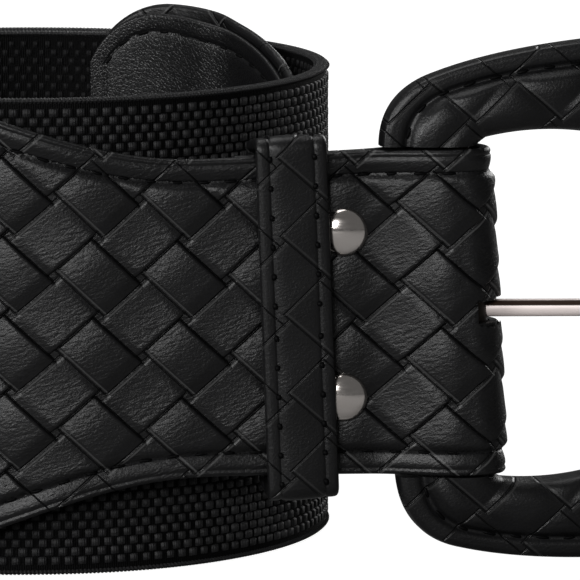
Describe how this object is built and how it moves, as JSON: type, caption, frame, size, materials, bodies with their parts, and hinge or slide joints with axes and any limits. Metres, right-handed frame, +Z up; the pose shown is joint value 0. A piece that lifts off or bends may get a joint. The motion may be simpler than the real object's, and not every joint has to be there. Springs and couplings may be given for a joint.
{
  "type": "elastic stretch belt",
  "caption": "Wide elastic waist belt with basketweave leather ends, a leather-wrapped prong buckle and a keeper loop, standing coiled on its edge.",
  "frame": {"origin": "centre of the belt's bounding box, on the surface that it stands on", "axes": "+Z up across the belt's width, +X along the buckle from the coil, +Y away from the front"},
  "size_m": [0.182, 0.1038, 0.0838],
  "materials": {
    "elastic": "matt woven webbing",
    "woven_leather": "semi-gloss, basketweave embossed",
    "lining_leather": "fine pebbled, soft sheen",
    "nickel": "polished"
  },
  "bodies": {
    "belt": {"elastic_band": "elastic", "buckle_tab": "woven_leather", "buckle_tab_lining": "lining_leather", "tip_tab": "woven_leather", "tip_tab_lining": "lining_leather", "keeper_loop": "woven_leather", "rivet_upper": "nickel", "rivet_lower": "nickel"},
    "buckle": {"buckle_frame": "woven_leather", "buckle_bar": "nickel"},
    "prong": {"prong": "nickel"}
  },
  "joints": [
    {"name": "frame_swivel", "type": "hinge", "parent": "belt", "child": "buckle", "pos_m": [0.03112, -0.03878, 0.041], "axis": [-0.0516, -0.009, 0.9986], "range_deg": [-10, 90]},
    {"name": "prong_swivel", "type": "hinge", "parent": "buckle", "child": "prong", "pos_m": [0.03112, -0.03878, 0.041], "axis": [-0.0516, -0.009, 0.9986], "range_deg": [-33, 0]}
  ]
}
